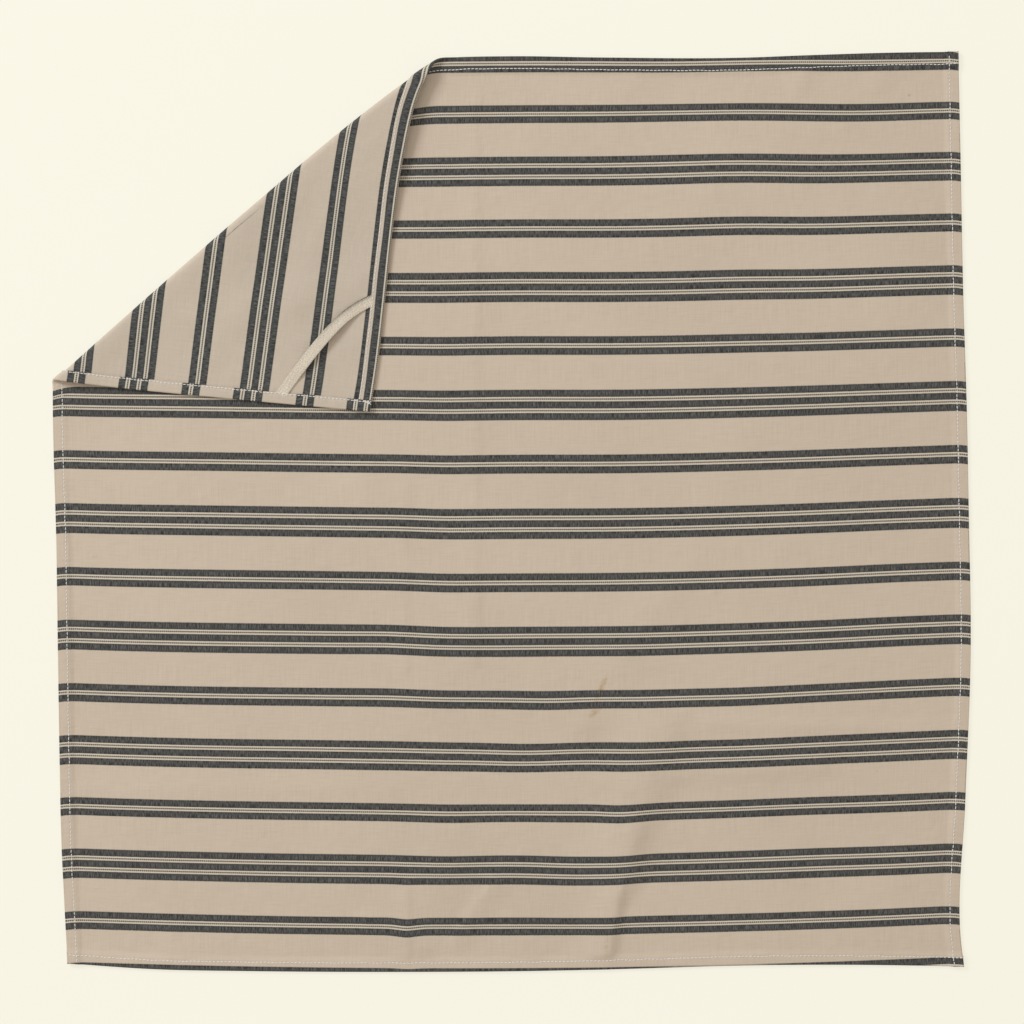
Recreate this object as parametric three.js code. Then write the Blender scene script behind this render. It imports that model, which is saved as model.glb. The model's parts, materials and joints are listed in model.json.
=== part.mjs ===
// A square striped cotton cloth, hemmed on all four sides, with a tape loop sewn
// across one corner. It lies flat with its front up, and the corner that carries
// the loop is folded over, so that corner shows the reverse of the cloth.
//
// Millimetres, +Z up. The origin is the centre of the footprint, on the table.
// +Y points to the top hem; the fold is at the corner between -X and +Y.

import * as THREE from 'three';

// ---- driving dimensions -------------------------------------------------

// Corners of the finished cloth as it lies. The top left one is folded over,
// so it only says where that corner would lie if the cloth were opened.
const CORNERS = {
  bottomLeft: [-320, -325],
  bottomRight: [325.5, -328],
  topRight: [322, 331],
  topLeft: [-319, 325],
};
// How far each side bows out in its middle, where the hems draw the corners in.
const BOW = { bottom: 4.5, right: 7, top: 0, left: 11 };
const EDGE_STEPS = 24;

const CLOTH = 0.6; // thickness of one ply of the cloth
const HEM_WIDTH = { bottom: 9, right: 8, top: 10, left: 8 };
const HEM_PLIES = 3; // the panel's own ply and two turned ones
// The row of stitches on a hem, and how far it runs from the hem's inner edge.
const THREAD = { width: 0.5, height: 0.3, fromInnerEdge: 1 };
const GAP = 0.3; // play left between neighbouring solids

const FOLD_ANGLE = THREE.MathUtils.degToRad(40.5); // crease, from +X
const FOLD_OUTER = 285.5; // from the origin to the outside of the fold
const ROLL_RADIUS = 4.5; // outer radius of the soft, unpressed fold
const ROLL_ENDS = [-187, 147]; // along the crease, from its foot nearest the origin
const FLAP_TIP = [-31.2, -160.6]; // along the crease, and in from the roll's centre line
const FLAP_TILT = THREE.MathUtils.degToRad(2.4); // the flap sinks from the roll to its tip
// How far the lower layer stops short of the roll's centre line, so that the roll
// can turn through it when the corner is opened.
const SETBACK = { cloth: 1.6, hem: 2.8, thread: 3.2 };

const TAPE_WIDTH = 8;
const TAPE_THICKNESS = 0.9;
const LOOP_CENTRE = [-26.6, -108.4]; // middle of the hinge line, in the flap's frame
const LOOP_ANGLE = THREE.MathUtils.degToRad(5.2); // hinge line, from the crease
const LOOP_HALF_SPAN = 39.5;
const LOOP_RISE = 5.6; // clear height under the middle of the arch
const LOOP_BOW = 6.5; // how far its middle lies over towards the crease
const LOOP_STEPS = 20;

const MATERIALS = {
  cloth: { color: '#c6b6a2', roughness: 0.9 },
  hem: { color: '#c2b29d', roughness: 0.9 },
  thread: { color: '#ebe6da', roughness: 0.7 },
  tape: { color: '#cdbfab', roughness: 0.88 },
};

// ---- outlines -----------------------------------------------------------

const SIDES = {
  bottom: ['bottomLeft', 'bottomRight', [0, -1]],
  right: ['bottomRight', 'topRight', [1, 0]],
  top: ['topRight', 'topLeft', [0, 1]],
  left: ['topLeft', 'bottomLeft', [-1, 0]],
};
const NO_INSET = { bottom: 0, right: 0, top: 0, left: 0 };

// Points along one side, from its first corner to its second, after each of the four
// sides has moved in by its own inset. The bow is a parabola over the side.
function side(name, inset) {
  const [first, second, outward] = SIDES[name];
  const corner = (key) => {
    const [x, y] = CORNERS[key];
    const acrossX = x < 0 ? inset.left : -inset.right;
    const acrossY = y < 0 ? inset.bottom : -inset.top;
    return new THREE.Vector2(x + acrossX, y + acrossY);
  };
  const from = corner(first);
  const to = corner(second);
  const out = new THREE.Vector2(...outward);
  return Array.from({ length: EDGE_STEPS + 1 }, (_, i) => {
    const s = i / EDGE_STEPS;
    const bow = BOW[name] * 4 * s * (1 - s);
    return from.clone().lerp(to, s).addScaledVector(out, bow);
  });
}

// The band between two distances in from a side, with both ends held back by others.
function band(name, outer, inner, held) {
  const line = (distance) => side(name, { ...held, [name]: distance });
  return [...line(outer), ...line(inner).reverse()];
}

// Keeps the part of a polygon where normal . point <= limit.
function clip(points, normal, limit) {
  const kept = [];
  points.forEach((point, i) => {
    const next = points[(i + 1) % points.length];
    const here = normal.dot(point) - limit;
    const there = normal.dot(next) - limit;
    if (here <= 0) kept.push(point);
    if (here * there < 0) kept.push(point.clone().lerp(next, here / (here - there)));
  });
  return kept;
}

// Keeps the part of a polygon at least (or at most) a distance inside the line a-b.
// Inside is to the left of a-b.
function keepBeyond(points, a, b, distance) {
  const outward = new THREE.Vector2(b.y - a.y, a.x - b.x).normalize();
  return clip(points, outward, outward.dot(a) - distance);
}
function keepWithin(points, a, b, distance) {
  const inward = new THREE.Vector2(a.y - b.y, b.x - a.x).normalize();
  return clip(points, inward, inward.dot(a) + distance);
}

// ---- solids -------------------------------------------------------------

// A flat plate on a closed outline, from height z upwards.
function plate(points, z, thickness) {
  const geometry = new THREE.ExtrudeGeometry(new THREE.Shape(points), {
    depth: thickness,
    bevelEnabled: false,
  });
  return geometry.translate(0, 0, z);
}

function addPiece(group, name, material, geometry) {
  const piece = new THREE.Mesh(geometry, new THREE.MeshStandardMaterial(MATERIALS[material]));
  piece.name = name;
  group.add(piece);
  return piece;
}

const HEM_THICKNESS = CLOTH * HEM_PLIES;
const LIFT = 0.1; // a thread or tape that lies on the cloth is this clear of it

// The two long edges of the row of stitches, as distances in from a side.
function threadEdges(name) {
  const far = HEM_WIDTH[name] - THREAD.fromInnerEdge;
  return [far - THREAD.width, far];
}

const innerEdges = Object.fromEntries(
  Object.entries(HEM_WIDTH).map(([name, width]) => [name, width + GAP]),
);

// ---- the layer on the table ---------------------------------------------

const FOLD_NORMAL = new THREE.Vector2(-Math.sin(FOLD_ANGLE), Math.cos(FOLD_ANGLE));
const ROLL_CENTRE = FOLD_OUTER - ROLL_RADIUS;

const cutAtFold = (points, setback) => clip(points, FOLD_NORMAL, ROLL_CENTRE - setback);

function mainPanel() {
  const outline = Object.keys(SIDES).flatMap((name) => side(name, innerEdges).slice(0, -1));
  return plate(cutAtFold(outline, SETBACK.cloth), 0, CLOTH);
}

// The hems of the two upright sides run the whole height, over the ends of the others.
const hemEnds = (name) => (name === 'left' || name === 'right' ? NO_INSET : innerEdges);

function hem(name) {
  const outline = band(name, 0, HEM_WIDTH[name], hemEnds(name));
  return plate(cutAtFold(outline, SETBACK.hem), 0, HEM_THICKNESS);
}

function hemThread(name) {
  const outline = band(name, ...threadEdges(name), hemEnds(name));
  return plate(cutAtFold(outline, SETBACK.thread), HEM_THICKNESS + LIFT, THREAD.height);
}

// ---- the folded corner --------------------------------------------------
// Its frame has its origin on the roll's centre line at the foot nearest the part's
// origin, X along the crease and Y outwards, so the flap lies on the -Y side.

const TURNED = {
  leftEnd: new THREE.Vector2(ROLL_ENDS[0], -GAP),
  rightEnd: new THREE.Vector2(ROLL_ENDS[1], -GAP),
  tip: new THREE.Vector2(...FLAP_TIP),
};
const FLAP_OUTLINE = [TURNED.leftEnd, TURNED.tip, TURNED.rightEnd];
const LOWER_EDGE = [TURNED.leftEnd, TURNED.tip];
const SIDE_EDGE = [TURNED.tip, TURNED.rightEnd];
const FLAP_UNDER = ROLL_RADIUS - CLOTH;

// The left hem is the flap's lower one and the top hem its side one.
function cornerFlap() {
  const clearOfLower = keepBeyond(FLAP_OUTLINE, ...LOWER_EDGE, innerEdges.left);
  return plate(keepBeyond(clearOfLower, ...SIDE_EDGE, innerEdges.top), FLAP_UNDER, CLOTH);
}

function flapLowerHem() {
  const strip = keepWithin(FLAP_OUTLINE, ...LOWER_EDGE, HEM_WIDTH.left);
  return plate(strip, FLAP_UNDER, HEM_THICKNESS);
}

function flapSideHem() {
  const strip = keepWithin(FLAP_OUTLINE, ...SIDE_EDGE, HEM_WIDTH.top);
  return plate(keepBeyond(strip, ...LOWER_EDGE, innerEdges.left), FLAP_UNDER, HEM_THICKNESS);
}

function flapThread(name, edge, otherEdge, clearance) {
  const [near, far] = threadEdges(name);
  const line = keepBeyond(keepWithin(FLAP_OUTLINE, ...edge, far), ...edge, near);
  const height = FLAP_UNDER + HEM_THICKNESS + LIFT;
  return plate(keepBeyond(line, ...otherEdge, clearance), height, THREAD.height);
}

// Half a tube along the crease, one ply thick, which joins the two layers.
function foldRoll() {
  const section = new THREE.Shape();
  section.absarc(0, 0, ROLL_RADIUS, -Math.PI / 2, Math.PI / 2, false);
  section.absarc(0, 0, ROLL_RADIUS - CLOTH, Math.PI / 2, -Math.PI / 2, true);
  section.closePath();
  const geometry = new THREE.ExtrudeGeometry(section, {
    depth: ROLL_ENDS[1] - ROLL_ENDS[0],
    curveSegments: 12,
    bevelEnabled: false,
  });
  const acrossIsY = new THREE.Vector3(0, 1, 0);
  const upIsZ = new THREE.Vector3(0, 0, 1);
  const alongIsX = new THREE.Vector3(1, 0, 0);
  geometry.applyMatrix4(new THREE.Matrix4().makeBasis(acrossIsY, upIsZ, alongIsX));
  return geometry.translate(ROLL_ENDS[0], 0, 0);
}

// A tape that rises in a parabola from one sewn end to the other, and whose middle
// also lies over to one side. Its frame has the hinge line as its X axis.
function hangingLoop() {
  const rise = (x) => LOOP_RISE * (1 - (x / LOOP_HALF_SPAN) ** 2);
  const stations = Array.from(
    { length: LOOP_STEPS + 1 },
    (_, i) => LOOP_HALF_SPAN * ((2 * i) / LOOP_STEPS - 1),
  );
  const under = stations.map((x) => new THREE.Vector2(x, rise(x)));
  const over = stations.map((x) => new THREE.Vector2(x, rise(x) + TAPE_THICKNESS)).reverse();
  const geometry = new THREE.ExtrudeGeometry(new THREE.Shape([...under, ...over]), {
    depth: TAPE_WIDTH,
    bevelEnabled: false,
  });
  geometry.rotateX(Math.PI / 2).translate(0, TAPE_WIDTH + LIFT, 0);
  const position = geometry.getAttribute('position');
  for (let i = 0; i < position.count; i += 1) {
    const lean = LOOP_BOW * (1 - (position.getX(i) / LOOP_HALF_SPAN) ** 2);
    position.setY(i, position.getY(i) + lean);
  }
  return geometry;
}

// ---- assembly -----------------------------------------------------------

const cloth = new THREE.Group();
addPiece(cloth, 'main_panel', 'cloth', mainPanel());
for (const name of Object.keys(SIDES)) {
  addPiece(cloth, `hem_${name}`, 'hem', hem(name));
  addPiece(cloth, `stitching_${name}`, 'thread', hemThread(name));
}

const flap = new THREE.Group();
flap.position.set(FOLD_NORMAL.x * ROLL_CENTRE, FOLD_NORMAL.y * ROLL_CENTRE, ROLL_RADIUS);
flap.rotation.set(FLAP_TILT, 0, FOLD_ANGLE, 'ZXY');
cloth.add(flap);
addPiece(flap, 'fold_roll', 'cloth', foldRoll());
addPiece(flap, 'corner_flap', 'cloth', cornerFlap());
addPiece(flap, 'flap_lower_hem', 'hem', flapLowerHem());
addPiece(flap, 'flap_side_hem', 'hem', flapSideHem());
const lowerThread = flapThread('left', LOWER_EDGE, SIDE_EDGE, 1);
const sideThread = flapThread('top', SIDE_EDGE, LOWER_EDGE, innerEdges.left);
addPiece(flap, 'flap_lower_stitching', 'thread', lowerThread);
addPiece(flap, 'flap_side_stitching', 'thread', sideThread);

const loop = new THREE.Group();
loop.position.set(...LOOP_CENTRE, ROLL_RADIUS + GAP / 2);
loop.rotation.z = LOOP_ANGLE;
flap.add(loop);
addPiece(loop, 'hanging_loop', 'tape', hangingLoop());

export default cloth;
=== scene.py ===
# %% [markdown]
# # A striped cotton cloth with one corner folded over
#
# The real thing is one square of yarn-dyed cotton, hemmed by machine on all four sides, with a
# short tape sewn across one corner to hang it by. It lies front up on a pale surface, and the
# corner with the tape is folded over, so that it shows the reverse of the cloth.
#
# The plan: describe the cloth as if it lay open and flat, then write one function that lays any
# point of it in its folded place. Every piece, down to the last stitch, is worked out flat and
# goes through that one function, so they all fit. Shapes are in millimetres, and a mesh is scaled
# to metres as it is made.

# %% Load the frame
import json
import math

import bmesh
import bpy
import numpy as np
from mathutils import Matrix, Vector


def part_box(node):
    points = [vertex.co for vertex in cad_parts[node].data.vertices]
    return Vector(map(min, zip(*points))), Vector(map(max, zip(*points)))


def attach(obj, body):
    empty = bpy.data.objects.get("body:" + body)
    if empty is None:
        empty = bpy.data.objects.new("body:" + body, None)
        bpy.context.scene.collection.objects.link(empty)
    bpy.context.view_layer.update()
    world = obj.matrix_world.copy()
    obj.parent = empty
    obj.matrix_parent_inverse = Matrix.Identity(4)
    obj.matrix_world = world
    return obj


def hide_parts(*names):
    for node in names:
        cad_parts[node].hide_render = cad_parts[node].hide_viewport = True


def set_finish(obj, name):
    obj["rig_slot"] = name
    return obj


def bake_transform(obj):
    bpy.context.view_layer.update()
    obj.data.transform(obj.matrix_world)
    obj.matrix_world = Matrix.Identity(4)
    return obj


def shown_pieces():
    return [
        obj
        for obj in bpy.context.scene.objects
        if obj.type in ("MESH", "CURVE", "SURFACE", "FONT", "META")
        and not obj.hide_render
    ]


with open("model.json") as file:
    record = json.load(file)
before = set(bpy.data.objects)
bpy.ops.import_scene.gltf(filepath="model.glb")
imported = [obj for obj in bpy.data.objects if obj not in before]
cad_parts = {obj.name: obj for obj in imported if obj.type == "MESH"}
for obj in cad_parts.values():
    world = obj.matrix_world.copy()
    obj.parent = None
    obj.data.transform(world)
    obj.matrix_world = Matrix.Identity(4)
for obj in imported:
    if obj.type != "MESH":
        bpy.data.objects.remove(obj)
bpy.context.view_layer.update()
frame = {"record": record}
MM = 0.001

# %% [markdown]
# ## Where the fold is
#
# The crease is the hinge of the corner_fold joint, so its direction and its place come from the
# frame. Two unit vectors carry the rest of the script: `ALONG` runs along the crease and `OUT`
# points away from the cloth, across it.

# %% The crease, from the hinge
record_joints = {joint["name"]: joint for joint in frame["record"]["behaviour"]["joints"]}
fold_hinge = record_joints["corner_fold"]
roll_low, roll_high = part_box("fold_roll")
ROLL_HEIGHT = (roll_high[2] - roll_low[2]) / MM
ALONG = -np.array(fold_hinge["axis"][:2])
OUT = np.array([-ALONG[1], ALONG[0]])
hinge_point = np.array(fold_hinge["pos_m"][:2]) / MM
CREASE_OUTER = float(hinge_point @ OUT) + ROLL_HEIGHT / 4
print(f"crease at {math.degrees(math.atan2(ALONG[1], ALONG[0])):.1f} degrees,",
      f"{CREASE_OUTER:.1f} mm from the middle, {ROLL_HEIGHT:.1f} mm high")

# %% [markdown]
# ## The outline of the open cloth
#
# Nothing about a washed cloth is quite straight: the hems draw the corners in, and the sides
# bulge between them. Each side is a smooth curve through a few given points, made of
# cubics that pass through every point and never jump.


# %% Smooth curves through a few points
def smoothstep(x):
    """0 below 0, 1 above 1, and 3x^2 - 2x^3 between."""
    x = np.clip(x, 0, 1)
    return x * x * (3 - 2 * x)


def smooth_curve(points):
    """A function y(x) through the points. Between two points it is the cubic that has both
    heights and both slopes, where a point's slope is that of the line between its neighbours.
    Past either end it goes on straight."""
    xs, ys = np.array(points, float).T
    slopes = np.gradient(ys, xs)

    def at(x):
        x = np.asarray(x, float)
        inside = np.clip(x, xs[0], xs[-1])
        i = np.clip(np.searchsorted(xs, inside) - 1, 0, len(xs) - 2)
        span = xs[i + 1] - xs[i]
        f = (inside - xs[i]) / span
        start = (1 + 2 * f) * (1 - f) ** 2 * ys[i] + f * (1 - f) ** 2 * span * slopes[i]
        end = f * f * (3 - 2 * f) * ys[i + 1] - f * f * (1 - f) * span * slopes[i + 1]
        beyond = np.where(x < xs[0], slopes[0], slopes[-1]) * (x - inside)
        return start + end + beyond

    return at


LEFT = smooth_curve([(-325, -320), (-280, -322.4), (-244, -324.2), (-172, -325.8), (-82, -327.2),
                     (-28, -328), (80, -330.6), (140, -330), (214, -327.3), (328.5, -321.6)])
RIGHT = smooth_curve([(-328, 326), (-305, 323.6), (-208, 327.2), (-100, 331), (0, 329.6),
                      (80, 328), (150, 325.8), (260, 323.6), (331, 322)])
BOTTOM = smooth_curve([(-320, -326), (-260, -330.1), (-188, -331.6), (-80, -332.2), (28, -331.3),
                       (100, -329.5), (154, -327.8), (240, -327), (326, -328.2)])
TOP = smooth_curve([(-321.6, 328.5), (-299, 329), (-241, 327.1), (-190, 324.4), (-130, 322.1),
                    (-85, 322.5), (-50, 326.4), (0, 327.8), (64, 326.9), (172, 326.9), (208, 328.3),
                    (280, 330.5), (322, 331)])
print(f"open cloth: {RIGHT(0) - LEFT(0):.0f} mm wide and {TOP(0) - BOTTOM(0):.0f} mm long")

# %% [markdown]
# ## Threads that don't run straight
#
# The stripes are woven in at fixed distances, but on the table they curve like a shallow smile and
# close up a little towards the top and bottom. So every point gets a second pair of coordinates,
# its place in the weave, and the stripes are drawn on those.


# %% Place in the weave
# Where the cloth has been pulled down the table: centre (x, v), half width, half length, by how
# much, in mm. A negative pull is upwards.
PULLS = [((-330, 40), 85, 210, 1.9), ((-130, -120), 75, 120, -0.9), ((330, 40), 60, 200, 0.8),
         ((0, -250), 500, 80, -2.2), ((50, -262), 34, 45, 1.6), ((25, -150), 30, 22, 0.9),
         ((95, -165), 30, 60, 0.6), ((215, 190), 60, 90, 0.6), ((130, 260), 60, 50, -0.7),
         ((5, 110), 55, 210, -0.8), ((170, 215), 40, 75, -0.9), ((255, 295), 45, 40, 1.0),
         ((120, 325), 60, 20, 0.8), ((283, -75), 45, 90, -0.5), ((8, -178), 30, 28, 0.9),
         ((160, -150), 45, 30, 0.8), ((205, -235), 50, 50, -0.6), ((-45, -240), 32, 25, 0.9),
         ((78, -222), 16, 34, 1.0), ((-92, -110), 25, 35, -0.5), ((-75, -312), 9, 32, 1.3),
         ((0, -338), 500, 22, -0.6)]
# The weave's own scale, lean and sag: squeezed above and below the middle, in parts of v^3, and
# how much the stripes smile, which fades away from SMILE_MIDDLE.
SQUEEZE_UP, SQUEEZE_DOWN = 1.58e-7, 2.12e-7
SMILE, SMILE_FADE, SMILE_MIDDLE = 7.9e-5, 3.2e-10, -150
LEAN = 0.0055
FLAP_PULL = 5.0
TOP_THREAD = 335.0
# How much the warp leans, how far the upright hems have drawn the stripes down, and over what width.
WARP_LEAN, HEM_DRAW, HEM_DRAW_WIDTH = 0.004, 1.3, 4


def woven(x, y):
    """v for a point (x, y) of the flat cloth. The cloth lies so that y = squeezed(v) +
    smile(v) x^2 + lean x - pulls(x, v). That is turned round by trying v, measuring by how much
    y comes out wrong, and correcting v by it, a few times. Folding the corner over has pulled it
    too, most of all near the crease's foot."""
    v = y.copy()
    on_flap = smoothstep((x * OUT[0] + y * OUT[1] - CREASE_OUTER + 14) / 16)
    for _ in range(5):
        squeezed = v * (1 - np.where(v > 0, SQUEEZE_UP, SQUEEZE_DOWN) * v * v)
        smile = SMILE - SMILE_FADE * (v - SMILE_MIDDLE) ** 2
        pulls = sum(pull * np.exp(-((x - at[0]) / wide) ** 2 - ((v - at[1]) / long) ** 2)
                    for at, wide, long, pull in PULLS)
        pulls = pulls + smoothstep((x + 90) / 50) * np.exp(-((v + 20) / 150) ** 2)
        pulls = pulls + on_flap * FLAP_PULL * (1 - smoothstep((v - 110) / 240))
        v = v + (y - squeezed - smile * x * x - LEAN * x + pulls)
    return v


def weave_place(x, y):
    """(u, v) in the weave for a point of the flat cloth, in mm. Towards the folded corner the top
    hem was turned along one thread, so v is shifted near the top edge until they agree. The
    upright hems have drawn the stripes down a little at their very edge."""
    x, y = np.broadcast_arrays(np.asarray(x, float), np.asarray(y, float))
    v = woven(x, y)
    misfit = TOP_THREAD - woven(x, TOP(x) + 0 * y)
    along_thread = 1 - smoothstep((x + 80) / 30)
    v = v + misfit * along_thread * np.exp(-(np.maximum(TOP(x) - y, 0) / 45) ** 2)
    to_hem = np.maximum(np.minimum(x - LEFT(y), RIGHT(y) - x), 0)
    return x + WARP_LEAN * v, v + HEM_DRAW * np.exp(-to_hem / HEM_DRAW_WIDTH)


print("weave place of the middle of the cloth:", *(round(float(c), 2) for c in weave_place(0, 0)))

# %% [markdown]
# ## Relief
#
# A cloth lying on a table touches it almost nowhere. It keeps soft ridges from the way it was
# folded and put down, and its hems hold it up, being three plies thick. Each ridge here is a line
# with a rounded bump across it. A few long sine waves, at angles that share nothing, add the
# unevenness that nobody would notice until it is missing.

# %% Heights above the table
PLY = 0.6
HEM = {"bottom": 7.6, "right": 8.0, "top": 10.0, "left": 8.0}
STITCH_LINE = {name: width - 1.0 for name, width in HEM.items()}
LOW = PLY / 2 + 0.15
ON_HEM = 2.5 * PLY + 0.35
# How far the cloth stands off the table on the whole, and at least; how much a hem flattens it.
LIFT, LEAST_LIFT, FLATTENED = 0.55, 0.15, 0.75
# Ridges: from (x, y), to (x, y), half width and height, in mm. A negative height is a dip. Two
# half widths are for a ridge that is steeper on one side: left of its direction first.
RIDGES = [
    ((112, -150), (88, -222), (17, 26), 3.3), ((88, -222), (78, -270), (13, 24), 4.2),
    ((78, -270), (67, -330), (6, 16), 3.1),
    ((112, -190), (230, -182), (12, 8), 1.3), ((-118, 30), (-62, -40), 17, 1.9),
    ((-62, -40), (-14, -98), 17, 2.1), ((-14, -98), (58, -162), (16, 10), 2.4),
    ((170, 70), (128, -40), 18, 0.7), ((128, -40), (66, -125), 17, 0.9),
    ((140, -153), (325, -158), 6, 0.8), ((-318, -201), (-80, -200), 8, 0.5),
    ((-40, -215), (-66, -300), 20, 1.1), ((250, -205), (235, -270), 26, -0.8),
    ((-315, -305), (-225, -312), 16, -0.9), ((-250, -300), (-235, -325), 12, 1.3),
    ((-105, -290), (-60, -318), (5, 12), 1.2), ((-75, -270), (-76, -325), (4, 9), 0.8),
    ((-10, -262), (-42, -312), (10, 5), 1.0), ((40, 118), (150, 96), 14, 0.8),
    ((205, 300), (212, 328), 9, 0.9), ((150, 262), (140, 222), 14, 0.6),
    ((268, 300), (262, 328), 10, 0.7), ((90, 300), (86, 326), 12, 0.6),
    ((-10, -300), (20, -328), 12, 0.8), ((-330, 35), (-250, 10), 16, 0.5),
    ((-300, -105), (-245, -85), 12, 0.4), ((185, -250), (195, -320), 18, 0.6),
    ((280, -60), (325, 0), 20, 0.5), ((-26, 300), (-26, -115), (4, 10), 0.55),
    ((-77, 20), (-77, -118), (4, 9), 0.45),
]
WAVES = [(0.021, 0.013, 0.4, 0.30), (-0.012, 0.031, 2.1, 0.26), (0.043, -0.027, 1.2, 0.14),
         (0.017, 0.052, 4.4, 0.12), (0.067, 0.038, 3.3, 0.07), (-0.061, 0.074, 0.9, 0.05)]


def ridges(x, y, lines=RIDGES):
    """The ridges' height: exp(-(distance from the line / half width)^2) times the height, fading
    in and out round the line's two ends, so that ridges drawn end to end make one."""
    total = np.zeros_like(x)
    for start, end, width, height in lines:
        span = math.dist(start, end)
        way_x, way_y = (end[0] - start[0]) / span, (end[1] - start[1]) / span
        along = (x - start[0]) * way_x + (y - start[1]) * way_y
        away = (y - start[1]) * way_x - (x - start[0]) * way_y
        left, right = np.broadcast_to(width, 2)
        mean = (left + right) / 2
        ends = smoothstep((along + mean) / (2 * mean)) * smoothstep((span - along + mean) / (2 * mean))
        total += height * ends * np.exp(-((away / np.where(away > 0, left, right)) ** 2))
    return total


def waves(x, y):
    """A sum of sine waves, each with its own direction, length and phase."""
    return sum(size * np.sin(kx * x + ky * y + phase) for kx, ky, phase, size in WAVES)


def from_sides(x, y):
    """How far inside each side of the open cloth a point lies."""
    return {"left": x - LEFT(y), "right": RIGHT(y) - x, "bottom": y - BOTTOM(x), "top": TOP(x) - y}


def hem_steps(x, y):
    """(upright, level): 1 on the hems of those sides and 0 inside them, falling smoothly over
    the 5 mm past the stitches."""
    steps = {name: 1 - smoothstep((gap - STITCH_LINE[name]) / 5)
             for name, gap in from_sides(x, y).items()}
    return np.maximum(steps["left"], steps["right"]), np.maximum(steps["bottom"], steps["top"])


def table_height(x, y):
    """Height of the middle of the cloth where it lies on the table. Hems hold it up, and twice
    as much where two of them cross."""
    uneven = LIFT + waves(x, y) + ridges(x, y)
    relief = np.maximum(uneven, LEAST_LIFT * np.exp(np.minimum(uneven, 0)))
    upright, level = hem_steps(x, y)
    on_hem = np.maximum(upright, level)
    held = (ON_HEM - LOW) * on_hem + 2 * PLY * upright * level
    return LOW + relief * (1 - FLATTENED * on_hem) + held


sample = table_height(*np.meshgrid(np.linspace(-310, 310, 90), np.linspace(-310, 310, 90)))
print(f"the cloth's middle lies {sample.min():.2f} to {sample.max():.2f} mm above the table")

# %% [markdown]
# ## The fold
#
# Seen from its end, the cloth turns up, round and back over itself in a soft curl, because nobody
# has pressed it. Its direction turns by half a circle, fastest in the middle. Adding up steps in
# that direction gives the shape of a curl one unit long. The real one is longer, so higher,
# towards its right end.

# %% The curl's shape
TURN_STEPS = np.linspace(0, 1, 401)
TURN = np.pi * smoothstep(TURN_STEPS)
step = TURN_STEPS[1]
CURL_OUT = np.concatenate([[0], np.cumsum((np.cos(TURN[1:]) + np.cos(TURN[:-1])) / 2 * step)])
CURL_UP = np.concatenate([[0], np.cumsum((np.sin(TURN[1:]) + np.sin(TURN[:-1])) / 2 * step)])
CURL_REACH, CURL_HEIGHT = float(CURL_OUT.max()), float(CURL_UP[-1])
print(f"a curl 1 long reaches {CURL_REACH:.3f} out and {CURL_HEIGHT:.3f} up")

# Along the crease, from its foot nearest the middle of the cloth, in mm.
curl_length = smooth_curve([(-195, 10.5), (-100, 12.5), (20, 14.5), (110, 16), (175, 16.5)])
crease_line = smooth_curve([(-195, CREASE_OUTER - 0.5), (-100, CREASE_OUTER + 1.5),
                            (8, CREASE_OUTER + 2.4), (98, CREASE_OUTER + 1.3),
                            (145, CREASE_OUTER - 1.6), (172, CREASE_OUTER - 5)])
settle_length = smooth_curve([(-195, 9), (-60, 14), (60, 22), (150, 38)])
FLAP_CLEAR = PLY + 0.5
FLAP_RIDGES = [((-283, 170), (-228, 318), 16, 1.3), ((-150, 285), (-262, 262), 13, 1.0),
               ((-318, 262), (-262, 322), 12, 0.7), ((-225, 255), (-130, 318), 14, 0.8),
               ((-306, 200), (-262, 230), 11, 0.6)]


def crease_place(x, y):
    """(t, s, length): place along the crease, how far the point lies past the start of the
    curl, and how long the curl is there."""
    t = x * ALONG[0] + y * ALONG[1]
    length = curl_length(t)
    return t, x * OUT[0] + y * OUT[1] - crease_line(t) + CURL_REACH * length, length


def lay(x, y, h):
    """Folded place of a point of the open cloth. (x, y) is its place on the open, flat cloth,
    and h its height above the middle of the cloth, on its front. Up to the crease the point
    stays where it is. In the curl it follows the curl's shape, and h is measured square to it.
    Past the curl it comes back the way it went, upside down, and sinks on to the lower layer."""
    x, y, h = np.broadcast_arrays(*(np.asarray(c, float) for c in (x, y, h)))
    t, s, length = crease_place(x, y)
    f = np.clip(s / length, 0, 1)
    turned = np.interp(f, TURN_STEPS, TURN)
    start = crease_line(t) - CURL_REACH * length
    past = np.maximum(s - length, 0)
    across = start + np.minimum(s, 0) + length * np.interp(f, TURN_STEPS, CURL_OUT) - past
    place_x = t * ALONG[0] + (across - h * np.sin(turned)) * OUT[0]
    place_y = t * ALONG[1] + (across - h * np.sin(turned)) * OUT[1]

    top = length * CURL_HEIGHT
    q = past / settle_length(t)
    held_up = (1 + q) * np.exp(-q)
    wrinkles = np.maximum(ridges(x, y, FLAP_RIDGES), 0)
    resting = table_height(place_x, place_y) + FLAP_CLEAR + wrinkles
    on_flap = resting + (top - resting) * held_up
    in_curl = length * np.interp(f, TURN_STEPS, CURL_UP) + table_height(x, y) * (1 - smoothstep(f))
    height = np.where(s > length, on_flap, in_curl) + h * np.cos(turned)
    return np.stack([place_x, place_y, height], axis=-1)


tip = lay(LEFT(325), TOP(-320), 0)
print("the folded corner's tip lies at", np.round(tip, 1), "mm")

# %% [markdown]
# ## Meshes from grids
#
# Two kinds of mesh are enough. A sheet is a grid of points with a front, a back and a rim. A bar
# is a closed profile carried along a line, with both ends capped. Both are closed, so they have a
# volume and a right side out. Rims and caps stay flat shaded, which keeps the smooth faces'
# shading clean right up to the edge.
#
# Each point also carries flat places for the materials: its place in the weave, for the stripes,
# how far it lies from the rows of stitches, for the puckers beside them, and on the cloth and its
# hems a map that is 0 on the front and 1 on the reverse.


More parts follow.
